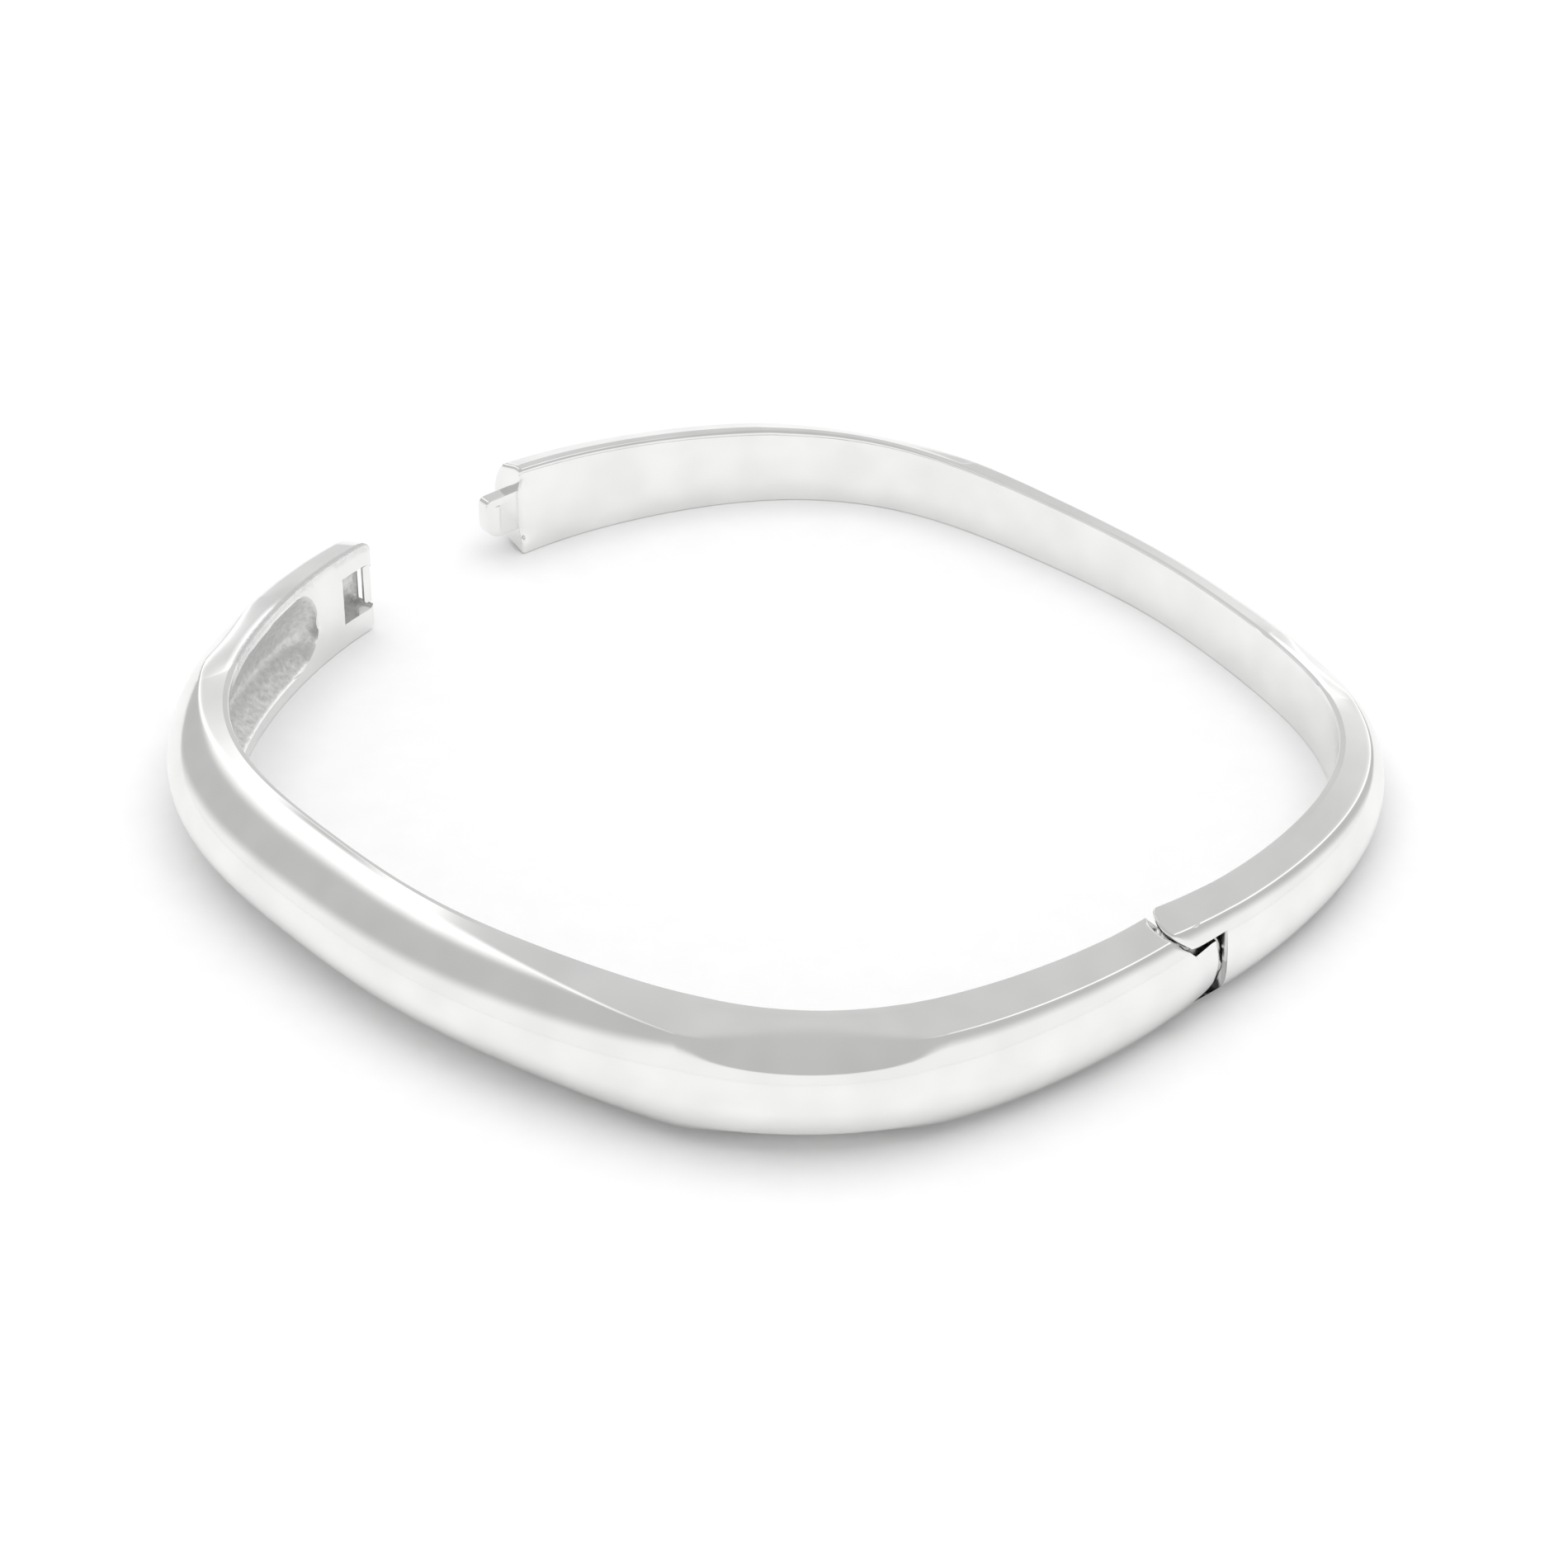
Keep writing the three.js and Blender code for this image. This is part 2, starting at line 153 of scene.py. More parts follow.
def thickness(bearing):
    a = np.radians(bearing)
    corner = np.cos(4 * (a - math.radians(40)))
    return MEAN_THICKNESS - FRONT_EXTRA_THICKNESS * np.sin(a) + CORNER_EXTRA_THICKNESS * corner


def crease_share(bearing):
    reach = 42 if bearing < NARROW_CREASE_BEARING else 53
    away = (bearing - NARROW_CREASE_BEARING) / reach
    return min(CREASE_SHARE, NARROW_CREASE_SHARE + (CREASE_SHARE - NARROW_CREASE_SHARE) * away**2)


def scoop_depth(bearing):
    """0 on the full section, 1 in the bottom of a scoop."""
    inside = max(min(bearing - start, end - bearing) for start, end, share in CORNER_SCOOPS)
    inside = (inside + math.hypot(inside, NOSE_EDGE)) / 2
    run = min(1.0, inside / SCOOP_RUN_OUT)
    return math.sqrt(1 - (1 - run) ** 2)


def middle_share(bearing):
    """How near a bearing is to mid scoop, and the strip's share of the width there."""
    for start, end, share in CORNER_SCOOPS:
        if start < bearing < end:
            near = min(bearing - start, end - bearing) / ((end - start) / 2)
            return near * near * (3 - 2 * near), share
    return 0.0, 1.0


# %% Half a section, from the rim to the widest line
EDGE_STEPS = 6
STRIP_STEPS = 10
CREASE_STEPS = 7
FACET_STEPS = 10
WALL_STEPS = 8
WALL_GATHER = 1.5
DOME_SAMPLES = 200
MOST_OF_CREASE = 0.8
MOST_OF_DOME = 0.4
MOST_OF_STRIP = 0.45
SCOOP_FROM_EDGE = 0.5
SCOOP_ABOVE_MIDDLE = 0.4


def bend(before, corner, after, steps):
    """A corner rounded off: points from before to after, drawn towards the corner."""
    t = np.linspace(0, 1, steps)[:, None]
    return (1 - t) ** 2 * before + 2 * t * (1 - t) * corner + t**2 * after


def towards(start, end, distance):
    return start + (end - start) * distance / np.linalg.norm(end - start)


def dome(crease, wide, angle):
    """The dome from the crease at DOME_START to the widest line at 0, as u and height."""
    out = (np.cos(angle) - math.cos(DOME_START)) / (1 - math.cos(DOME_START))
    rise = np.sin(angle) / math.sin(DOME_START)
    return np.stack([crease[0] + (wide - crease[0]) * out, crease[1] * rise], axis=-1)


def soft_max(value, softness):
    """The value where it is positive, else 0, with the corner between the two rounded off."""
    return (value + np.hypot(value, softness)) / 2


def scoop_floor(bearing, u, crease, land, top, wide):
    """The scoop's bottom: the flat strip, then a straight fall to the ridge."""
    near, share = middle_share(bearing)
    kept = crease[0] + (min(crease[0], share * wide) - crease[0]) * near
    fall = (top - crease[1]) / (crease[0] - land)
    kept_y = top - fall * (kept - land)
    ridge_u = wide * SCOOP_RIDGE_SHARE
    steeper = (kept_y - RIDGE_HEIGHT_SHARE * top) / (ridge_u - kept) - fall
    past = soft_max(np.minimum(u, ridge_u) - kept, STRIP_EDGE + STRIP_FADE * near)
    return top - fall * (np.minimum(u, ridge_u) - land) - steeper * past


def half_section(bearing, land, edge, crease_edge):
    """Pairs of u and height above the middle, from the top of the inner face outwards."""
    bearing = bearing % 360
    top = float(height(bearing)) / 2
    wide = float(thickness(bearing))
    crease_u = max(crease_share(bearing) * wide, land + LEAST_STRIP)
    crease = np.array([crease_u, top - STRIP_DROP - STRIP_SLOPE * crease_u])
    rim = np.array([0.0, top])
    shoulder = np.array([land, top])
    angles = np.linspace(DOME_START, 0, DOME_SAMPLES)
    line = dome(crease, wide, angles)
    above = line[:, 1] - scoop_floor(bearing, line[:, 0], crease, land, top, wide)
    ridge_angle = float(angles[np.nonzero(above > 0)[0][-1]])
    arc = np.linalg.norm(line[0] - line[-1])
    crease_angle = DOME_START * (1 - min(MOST_OF_DOME, crease_edge / arc))
    edge = min(edge, MOST_OF_CREASE * crease_u)
    after_edge = towards(shoulder, crease, edge) if land < edge else np.array([edge, top])
    reach = min(crease_edge, MOST_OF_STRIP * (crease_u - edge))
    before_crease = towards(crease, after_edge, reach)
    after_crease = dome(crease, wide, crease_angle)
    strip = np.linspace(after_edge, before_crease, STRIP_STEPS + 1)[1:-1]
    ease = np.linspace(0, 1, FACET_STEPS + 1)[1:]
    facet = crease_angle + (ridge_angle - crease_angle) * np.sin(ease * math.pi / 2)
    wall = ridge_angle * (1 - np.linspace(0, 1, WALL_STEPS + 1)[1:] ** WALL_GATHER)
    points = np.concatenate([
        bend(rim - [0, edge], rim, after_edge, EDGE_STEPS),
        strip,
        bend(before_crease, crease, after_crease, CREASE_STEPS),
        dome(crease, wide, facet),
        dome(crease, wide, wall),
    ])
    over = points[:, 1] - scoop_floor(bearing, points[:, 0], crease, land, top, wide)
    out = np.clip((points[:, 0] - 0.5 * edge) / SCOOP_FROM_EDGE, 0, 1)
    out *= points[:, 1] > SCOOP_ABOVE_MIDDLE
    points[:, 1] -= scoop_depth(bearing) * soft_max(over, RIDGE_EDGE) * out
    return points


# %% [markdown]
# ## From sections to a closed body
#
# A maker rolls a sheet and closes it; here a grid is laid out flat, each of its rows is put where
# one ring of the band goes, and the two long edges are merged. The grid brings a tidy UV map with
# it. The alternative, extruding a circle ring by ring, gives the same faces with many more steps.

# %% Closing a grid into a body
MERGE_DISTANCE = 1e-7
SMOOTH_UNDER_DEGREES = 32


def use_only(piece):
    bpy.ops.object.select_all(action="DESELECT")
    piece.select_set(True)
    bpy.context.view_layer.objects.active = piece


def closed_body(name, rings, as_cast):
    """A body through rings[ring, point]; as_cast says where the casting's skin was left rough."""
    ring_count, point_count = rings.shape[:2]
    bpy.ops.object.select_all(action="DESELECT")
    bpy.ops.mesh.primitive_grid_add(
        x_subdivisions=point_count, y_subdivisions=ring_count - 1, size=2
    )
    piece = bpy.context.object
    piece.name = piece.data.name = name
    flat = np.zeros(len(piece.data.vertices) * 3)
    piece.data.vertices.foreach_get("co", flat)
    flat = flat.reshape(-1, 3)
    point = np.rint((flat[:, 0] + 1) / 2 * point_count).astype(int) % point_count
    ring = np.rint((flat[:, 1] + 1) / 2 * (ring_count - 1)).astype(int)
    piece.data.vertices.foreach_set("co", rings[ring, point].ravel())
    skin = piece.data.attributes.new("as_cast", "FLOAT", "POINT")
    skin.data.foreach_set("value", as_cast[ring, point].astype(np.float32))
    piece.data.update()
    bpy.ops.object.mode_set(mode="EDIT")
    bpy.ops.mesh.select_all(action="SELECT")
    bpy.ops.mesh.remove_doubles(threshold=MERGE_DISTANCE)
    bpy.ops.mesh.fill_holes(sides=0)
    bpy.ops.mesh.normals_make_consistent(inside=False)
    bpy.ops.object.mode_set(mode="OBJECT")
    return piece


def finish_edges(piece):
    use_only(piece)
    bpy.ops.object.shade_smooth_by_angle(angle=math.radians(SMOOTH_UNDER_DEGREES))
    faces = sum(len(face.vertices) - 2 for face in piece.data.polygons)
    print(piece.name, "has", faces, "triangles")
    return piece


# %% [markdown]
# ## The cast hollow and the pocket
#
# Behind the deep front wall the casting is hollowed to save silver, and near the catch a pocket
# takes the snap tongue. Both open on the inner face, so they are made by pushing points of the
# inner face outwards. Cutting them out with a Boolean would work too, but the pushed points keep
# their rows, so the lips of the hollow come out softly rounded as on a casting.

# %% Where the inner face is pushed outwards
SEAM_GAP = 0.2
POCKET_LENGTH = 2.6
POCKET_HALF_HEIGHT = 1.55
POCKET_DEPTH = 1.4
TROUGH_BEARINGS = [190.5, 300]
TROUGH_DEPTH_SHARE = 0.5
TROUGH_LOWER_RIM = 0.85
TROUGH_UPPER_RIM = 0.45
TROUGH_WALL = 0.55
TROUGH_END_BEARING = 5
TROUGH_END_STEPS = [0.02, 0.08, 0.18, 0.32, 0.5, 0.75, 1.05, 1.4, 1.8, 2.3]
LEAST_OPEN = 0.15
SPREAD_PAST_END = 0.8
SPREAD_DEGREES = 25
COVE_SHARE = 0.75
LOWER_WALL_SHARE = 0.3
FACE_STEPS = 48
FACE_LIP_STEPS = 4
END_BEARING = 180 + SEAM_GAP / 2 / MM_PER_DEGREE
POCKET_BEARING = 180 + POCKET_LENGTH / MM_PER_DEGREE


def hollow_span(bearing):
    """The lower and upper edge of the zone of the inner face that may be pushed, and its share."""
    full = float(height(bearing))
    start, end = TROUGH_BEARINGS
    inside = min(bearing - start, end - bearing)
    run = min(1.0, max(0.0, inside / TROUGH_END_BEARING))
    share = math.sqrt(1 - (1 - run) ** 2)
    near_pocket = min(1.0, max(0.0, (start - bearing) / (start - POCKET_BEARING)))
    low = full / 2 - POCKET_HALF_HEIGHT
    high = full / 2 + POCKET_HALF_HEIGHT
    if near_pocket < 1:
        past_end = min(SPREAD_PAST_END, max(0.0, (bearing - end) / SPREAD_DEGREES))
        open_share = max(LEAST_OPEN + (1 - LEAST_OPEN) * share, past_end)
        trough_low = full / 2 + (TROUGH_LOWER_RIM - full / 2) * open_share
        trough_high = full / 2 + (full / 2 - TROUGH_UPPER_RIM) * open_share
        low = trough_low + (low - trough_low) * near_pocket
        high = trough_high + (high - trough_high) * near_pocket
    return low, high, share


def outer_u(bearing, z, section):
    """How far outwards the metal reaches at each height."""
    away = np.abs(z - float(height(bearing)) / 2) + TROUGH_WALL
    order = np.argsort(section[:, 1])
    reach = np.interp(away, section[order, 1], section[order, 0], right=0.0) - TROUGH_WALL
    return np.maximum(reach, 0)


def hollow_profile(x):
    """The hollow's depth from its upper edge, x 0, to its lower edge, x 1: a cove, then a wall."""
    cove = np.sin(np.clip(x / COVE_SHARE, 0, 1) * math.pi / 2)
    wall = np.sin(np.clip((1 - x) / LOWER_WALL_SHARE, 0, 1) * math.pi / 2)
    return cove * wall


def soft_least(first, second):
    """Close to the smaller of two lengths, without a kink where they cross."""
    power = 4
    total = (first + 1e-6) ** -power + (second + 1e-6) ** -power
    return total ** (-1 / power)


def inner_face(bearing, section, upper_start, lower_start, in_pocket):
    """Pairs of u and z up the inner face, from the lower edge to the upper one."""
    low, high, share = hollow_span(bearing)
    x = np.linspace(1, 0, FACE_STEPS)
    x = (1 - np.cos(math.pi * x)) / 2
    z = high + (low - high) * x
    u = np.zeros_like(z)
    if in_pocket:
        u[:] = POCKET_DEPTH
    elif share > 0:
        depth = TROUGH_DEPTH_SHARE * float(thickness(bearing)) * share
        u = soft_least(depth * hollow_profile(x), outer_u(bearing, z, section))
    below = np.linspace(lower_start, low, FACE_LIP_STEPS + 2)[1:]
    above = np.linspace(high, upper_start, FACE_LIP_STEPS + 2)[:-1]
    lip = [[0.0, at] for at in below], [[0.0, at] for at in above]
    return np.concatenate([lip[0], np.stack([u, z], axis=-1), lip[1]])


# %% One whole ring
INNER_EDGE = 0.14
CREASE_EDGE = 0.14
LOWER_EDGE = 0.12
PLAIN_FACE_STEPS = 16
NOSE_REACH = 4
NOSE_ABOVE_MIDDLE = 0.3
NOSE_OFF_FACE = 0.02


def ring_at(bearing, hollow=False, in_pocket=False, inner_edge=INNER_EDGE):
    """u and z of one ring: up the inner face, over the top, down the dome, back below."""
    middle = float(height(bearing)) / 2
    upper = half_section(bearing, UPPER_LAND, inner_edge, CREASE_EDGE)
    lower = half_section(bearing, LOWER_LAND, LOWER_EDGE, CREASE_EDGE)
    upper_start, lower_start = middle + upper[0, 1], middle - lower[0, 1]
    if hollow:
        face = inner_face(bearing, upper, upper_start, lower_start, in_pocket)
    else:
        z = np.linspace(lower_start, upper_start, PLAIN_FACE_STEPS + 2)[1:-1]
        face = np.stack([np.zeros(PLAIN_FACE_STEPS), z], axis=-1)
    top = np.stack([upper[:, 0], middle + upper[:, 1]], axis=-1)
    bottom = np.stack([lower[:-1, 0], middle - lower[:-1, 1]], axis=-1)[::-1]
    return np.concatenate([face, top, bottom])


def nose_shift(bearing, ring):
    """Degrees by which a point leads or lags its ring, so that each nose has a curved foot."""
    middle = float(height(bearing)) / 2
    wide = float(thickness(bearing)) * SCOOP_RIDGE_SHARE
    share = np.clip((ring[:, 0] - UPPER_LAND) / (wide - UPPER_LAND), 0, 1)
    outside = np.abs(ring[:, 1] - middle) > NOSE_ABOVE_MIDDLE
    foot = NOSE_CURVE * (2 * share - 1) ** 2 * outside * (ring[:, 0] > NOSE_OFF_FACE)
    shift = np.zeros(len(ring))
    for start, end, share in CORNER_SCOOPS:
        for nose, side in ((start, 1), (end, -1)):
            away = abs((bearing % 360) - nose)
            shift += side * foot * max(0.0, 1 - (away / NOSE_REACH) ** 2) ** 2
    return shift


# %% Where the rings go
RING_STEP = 0.8
NOSE_STEPS = [0, 0.06, 0.14, 0.25, 0.4, 0.6, 0.85, 1.15, 1.5, 1.9, 2.4, 3.0]
NOSE_ROOM = 0.3
LEAST_STEP = 0.1


def ring_bearings(start, end, extra=()):
    """Even steps along the band, closer together at each nose."""
    at = list(np.arange(start, end, RING_STEP))
    for nose in [nose for scoop in CORNER_SCOOPS for nose in scoop[:2]]:
        close = [nose + side * step for side in (-1, 1) for step in NOSE_STEPS]
        at = [b for b in at if abs(b - nose) > NOSE_STEPS[-1] + NOSE_ROOM]
        at += [b for b in close if start < b < end]
    at = [b for b in at if all(abs(b - other) > LEAST_STEP for other in extra)]
    return sorted({round(b, 4) for b in [*at, *extra, end] if start <= b <= end})


# %% [markdown]
# ## The front half
#
# It runs from the pocket of the catch, along the deep front with its two scooped corners, to the
# middle knuckle of the hinge. The knuckle is the band itself, cut down to a tang between two flat
# shoulders, so the last rings are the same section with its height clamped. Its end is round seen
# from above, about the pin, and its upper and lower corners are filed round as well.

# %% Sizes of the hinge
TANG_LOW = 1.0
TANG_HIGH = 4.4
TANG_RADIUS = 1.75
EAR_RADIUS = 2.0
EAR_NECK_RADIUS = 1.2
HINGE_GAP = 0.3
SHOULDER_RADIUS = EAR_RADIUS + HINGE_GAP
KNUCKLE_CORNER = 0.85
EAR_CORNER = 0.35
END_ROUND = 0.3
EDGE_ROUND = 0.12
LEAST_ARC = 0.2
TANG_RUN = 3
SHOULDER_STEPS = (2.0, 1.7, 1.4, 1.1, 0.8, 0.6, 0.45, 0.3, EDGE_ROUND, 0.07, 0.03, 0.01, 0)
SHOULDER_BEND = 1.6
ROUND_OFF_OVER = 0.3
CORNER_TURNS = (15, 30, 45, 60, 75, 90)
END_CROWN = ((0.004, 0.8), (0.008, 0.55), (0.012, 0.3))


def arc_about_pin(u, radius):
    """How far along the band a circle about the pin reaches, at each u."""
    return np.sqrt(np.maximum(radius**2 - (u - HINGE_U) ** 2, LEAST_ARC**2))


def cone_radius(z, radius):
    """The upper ear narrows towards its foot, and so does the shoulder that faces it."""
    foot = TANG_HIGH + HINGE_GAP
    rise = np.clip((z - foot) / (float(height(0)) - foot), 0, 1)
    return radius - (EAR_RADIUS - EAR_NECK_RADIUS) * (1 - rise) * (z > TANG_LOW)


def shrink(ring, middle, inset):
    """A ring drawn in a little, for a rounded edge, with its inner face left flush."""
    drawn = ring.copy()
    half = np.abs(ring[:, 1] - middle).max()
    drawn[:, 1] = middle + (ring[:, 1] - middle) * (1 - inset / half)
    drawn[:, 0] = ring[:, 0] * (1 - inset / ring[:, 0].max())
    return drawn


def loft(rows, body):
    """The rings of a body from rows of (bearing of each point, u and z of each point)."""
    return np.stack([standing(bearing, ring[:, 0], ring[:, 1], body) for bearing, ring in rows])


# %% The front half's rings
CLASP_ROUND = 0.5
CLASP_TURNS = (0, 15, 30, 45, 60, 75, 90)
BAND_ENDS_BEFORE_PIN = 4.4
POCKET_WALL = 0.02
RING_ROOM = 0.2


def front_rows():
    rows = []
    first = ring_at(END_BEARING, hollow=True, in_pocket=True)
    middle = float(height(END_BEARING)) / 2
    for turn in CLASP_TURNS:
        back = CLASP_ROUND * (1 - math.sin(math.radians(turn)))
        ahead = CLASP_ROUND * (1 - math.cos(math.radians(turn))) / MM_PER_DEGREE
        rows.append((END_BEARING + ahead, shrink(first, middle, back)))
    band_end = 360 - BAND_ENDS_BEFORE_PIN / MM_PER_DEGREE
    start = END_BEARING + CLASP_ROUND / MM_PER_DEGREE
    near_ends = [TROUGH_BEARINGS[0] + step for step in TROUGH_END_STEPS]
    near_ends += [TROUGH_BEARINGS[1] - step for step in TROUGH_END_STEPS]
    extra = [POCKET_BEARING, *near_ends]
    for bearing in ring_bearings(start + RING_ROOM, band_end, extra=extra):
        in_pocket = bearing <= POCKET_BEARING
        ring = ring_at(bearing, hollow=True, in_pocket=in_pocket)
        rows.append((bearing + nose_shift(bearing, ring), ring))
        if bearing == round(POCKET_BEARING, 4):
            rows.append((bearing + POCKET_WALL, ring_at(bearing + POCKET_WALL, hollow=True)))
    return rows + tang_rows()


def tang_rows():
    rows = []
    for back in SHOULDER_STEPS:
        ring = ring_at(360 - (SHOULDER_RADIUS + back) / MM_PER_DEGREE, hollow=True)
        shoulder = arc_about_pin(ring[:, 0], cone_radius(ring[:, 1], SHOULDER_RADIUS))
        bent = min(1.0, (SHOULDER_STEPS[0] - back) / SHOULDER_BEND)
        straight = -SHOULDER_RADIUS - back
        along = straight + bent * (-shoulder - back - straight)
        run = max(0.0, 1 - back / EDGE_ROUND)
        inset = EDGE_ROUND * (1 - math.sqrt(1 - run**2))
        rows.append((360 + along / MM_PER_DEGREE, rounded_off(ring, inset)))
    for along_share in np.linspace(0, 1, 14):
        from_pin = along_share * TANG_RUN - SHOULDER_RADIUS
        ring = ring_at(360 + from_pin / MM_PER_DEGREE, hollow=True)
        ring[:, 1] = np.clip(ring[:, 1], TANG_LOW, TANG_HIGH)
        start = -arc_about_pin(ring[:, 0], cone_radius(ring[:, 1], SHOULDER_RADIUS))
        end = arc_about_pin(ring[:, 0], TANG_RADIUS) - KNUCKLE_CORNER
        rows.append((360 + (start + (end - start) * along_share) / MM_PER_DEGREE, ring))
    middle = (TANG_LOW + TANG_HIGH) / 2
    return rows + pinched(rows[-1][1], middle, KNUCKLE_CORNER, middle - TANG_LOW, 1)


def rounded_off(ring, inset):
    """What stands above or below the tang is drawn in, for the shoulder's rounded edge."""
    drawn = ring.copy()
    above = np.clip((ring[:, 1] - TANG_HIGH) / ROUND_OFF_OVER, 0, 1)
    below = np.clip((TANG_LOW - ring[:, 1]) / ROUND_OFF_OVER, 0, 1)
    drawn[:, 1] += inset * (below - above)
    drawn[:, 0] -= inset * np.maximum(above, below) * np.clip(ring[:, 0] - 1, 0, 1)
    return drawn


def pinched(ring, middle, corner, half, side):
    """Rings that close an end: round at its upper and lower corners, then flat down to a line."""
    turns = np.radians(CORNER_TURNS)
    shares = list((half - corner * (1 - np.cos(turns))) / half)
    outs = list(corner * (np.sin(turns) - 1))
    for crown, share in END_CROWN:
        shares.append(shares[len(turns) - 1] * share)
        outs.append(crown)
    rows = []
    for share, out in zip(shares, outs):
        flat = ring.copy()
        flat[:, 1] = middle + (ring[:, 1] - middle) * share
        radius = TANG_RADIUS if side > 0 else cone_radius(flat[:, 1], EAR_RADIUS)
        along = side * (arc_about_pin(ring[:, 0], radius) + out)
        rows.append(((360 if side > 0 else 0) + along / MM_PER_DEGREE, flat))
    return rows


# %% Where the casting's skin shows
RIM_LEFT_ROUGH = 212
RIM_SKIN = 0.55
RIM_BAND = 0.5
SKIN_WITHIN = 0.2


def cast_skin(rows):
    """1 in the trough and the pocket, less on the filed rim beside them, 0 on the buffed faces."""
    face_count = FACE_STEPS + 2 * (FACE_LIP_STEPS + 1)
    skin = np.zeros((len(rows), len(rows[0][1])))
    for number, (bearing, ring) in enumerate(rows):
        at = float(np.mean(bearing))
        from_top = float(height(at)) - ring[:, 1]
        on_face = np.arange(len(ring)) < face_count + EDGE_STEPS
        hollow = np.clip(ring[:, 0] / SKIN_WITHIN, 0, 1) * (np.arange(len(ring)) < face_count)
        rim = RIM_SKIN * on_face * (from_top < RIM_BAND) * (at < RIM_LEFT_ROUGH)
        skin[number] = np.maximum(hollow, rim)
    return skin


# %% Making the front half
rows = front_rows()
front = closed_body("front_half_cast", loft(rows, "front"), cast_skin(rows))
finish_edges(front)

# %% [markdown]
# ## The rear half
#
# The rear half is a plain solid band. At the hinge its end is round about the pin, and a slot is
# cut through the middle for the other half's knuckle, which leaves an upper and a lower ear. The
# slot is the one shape here that is easier to cut than to push, so it is a Boolean.

# %% The rear half's rings
TONGUE_U = 0.36
TONGUE_HALF_HEIGHT = 1.35
RECESS_LENGTH = 1.6
RECESS_HALF_HEIGHT = 2.4
RECESS_FADE = 0.8
EAR_BACK = 2.0
EAR_RUN = 4
EAR_RINGS_END = 2.4
BAND_STARTS_AFTER_PIN = 2.9
REAR_END_TURNS = (90, 72, 54, 36, 18, 0)
SOFT_EDGE_FROM = 105
SOFT_EDGE_OVER = 45
SOFT_EDGE_EXTRA = 0.4


def rear_rows():
    middle = float(height(0)) / 2
    tip = ring_at(-EAR_BACK / MM_PER_DEGREE)
    half = float(np.abs(tip[:, 1] - middle).max())
    rows = pinched(tip, middle, EAR_CORNER, half, -1)[::-1]
    for along_share in np.linspace(0, 1, 12):
        ring = ring_at((along_share * EAR_RUN - EAR_BACK) / MM_PER_DEGREE)
        start = EAR_CORNER - arc_about_pin(ring[:, 0], cone_radius(ring[:, 1], EAR_RADIUS))
        along = start + (EAR_RINGS_END - start) * along_share
        rows.append((along / MM_PER_DEGREE, ring))
    last = 180 - SEAM_GAP / 2 / MM_PER_DEGREE
    first = BAND_STARTS_AFTER_PIN / MM_PER_DEGREE
    for bearing in ring_bearings(first, last - END_ROUND / MM_PER_DEGREE - RING_ROOM):
        ring = recessed(ring_at(bearing, inner_edge=rear_inner_edge(bearing)), bearing)
        rows.append((bearing + nose_shift(bearing, ring), ring))
    end = recessed(ring_at(last, inner_edge=rear_inner_edge(last)), last)
    for turn in REAR_END_TURNS:
        back = END_ROUND * (1 - math.sin(math.radians(turn)))
        ahead = END_ROUND * (1 - math.cos(math.radians(turn))) / MM_PER_DEGREE
        rows.append((last - ahead, shrink(end, float(height(last)) / 2, back)))
    return rows


def rear_inner_edge(bearing):
    """The inner edge is crisp along the back and opens into a soft round near the catch."""
    near_catch = min(1.0, max(0.0, (bearing - SOFT_EDGE_FROM) / SOFT_EDGE_OVER))
    return INNER_EDGE + SOFT_EDGE_EXTRA * near_catch**2 * (3 - 2 * near_catch)


def recessed(ring, bearing):
    """The last of the inner face is filed back softly, to run level with the tongue."""
    before_end = (180 - bearing) * MM_PER_DEGREE
    filed = TONGUE_U * max(0.0, 1 - before_end / RECESS_LENGTH) ** 2
    away = np.abs(ring[:, 1] - float(height(bearing)) / 2)
    fade = np.clip((RECESS_HALF_HEIGHT - away) / RECESS_FADE, 0, 1)
    ring[:, 0] = np.maximum(ring[:, 0], filed * fade)
    return ring


rows = rear_rows()
no_skin = np.zeros((len(rows), len(rows[0][1])))
rear = closed_body("rear_half_cast", loft(rows, "rear"), no_skin)


# %% Cutting the slot
CUTTER_SIDES = 96


def cutter_slab(low, high, radius):
    """The room for the knuckle: a slab beyond the pin, and a disc about it."""
    point = standing(np.array(0.0), np.array(HINGE_U), np.array((low + high) / 2), "rear")
    bpy.ops.object.select_all(action="DESELECT")
    bpy.ops.mesh.primitive_cylinder_add(
        vertices=CUTTER_SIDES, radius=radius * MM, depth=(high - low) * MM, location=point
    )
    disc = bpy.context.object
    bpy.ops.object.transform_apply(location=True, rotation=True, scale=True)
    bpy.ops.object.select_all(action="DESELECT")
    bpy.ops.mesh.primitive_cube_add(size=1, location=(0, 0, 0))
    slab = bpy.context.object
    slab.scale = (4 * radius * MM, 3 * radius * MM, (high - low) * MM)
    turn = TURN - OPEN_ANGLE
    slab.rotation_euler = (0, 0, turn)
    aside = 1.5 * radius * MM
    slab.location = point + np.array([math.sin(turn) * aside, -math.cos(turn) * aside, 0])
    bpy.ops.object.transform_apply(location=True, rotation=True, scale=True)
    return disc, slab


def cut(piece, cutter):
    use_only(piece)
    modifier = piece.modifiers.new("cut", "BOOLEAN")
    modifier.operation = "DIFFERENCE"
    modifier.solver = "EXACT"
    modifier.object = cutter
    bpy.ops.object.modifier_apply(modifier="cut")
    bpy.data.objects.remove(cutter)


slot_low, slot_high = TANG_LOW - HINGE_GAP, TANG_HIGH + HINGE_GAP
for cutter in cutter_slab(slot_low, slot_high, TANG_RADIUS + HINGE_GAP):
    cut(rear, cutter)
finish_edges(rear)

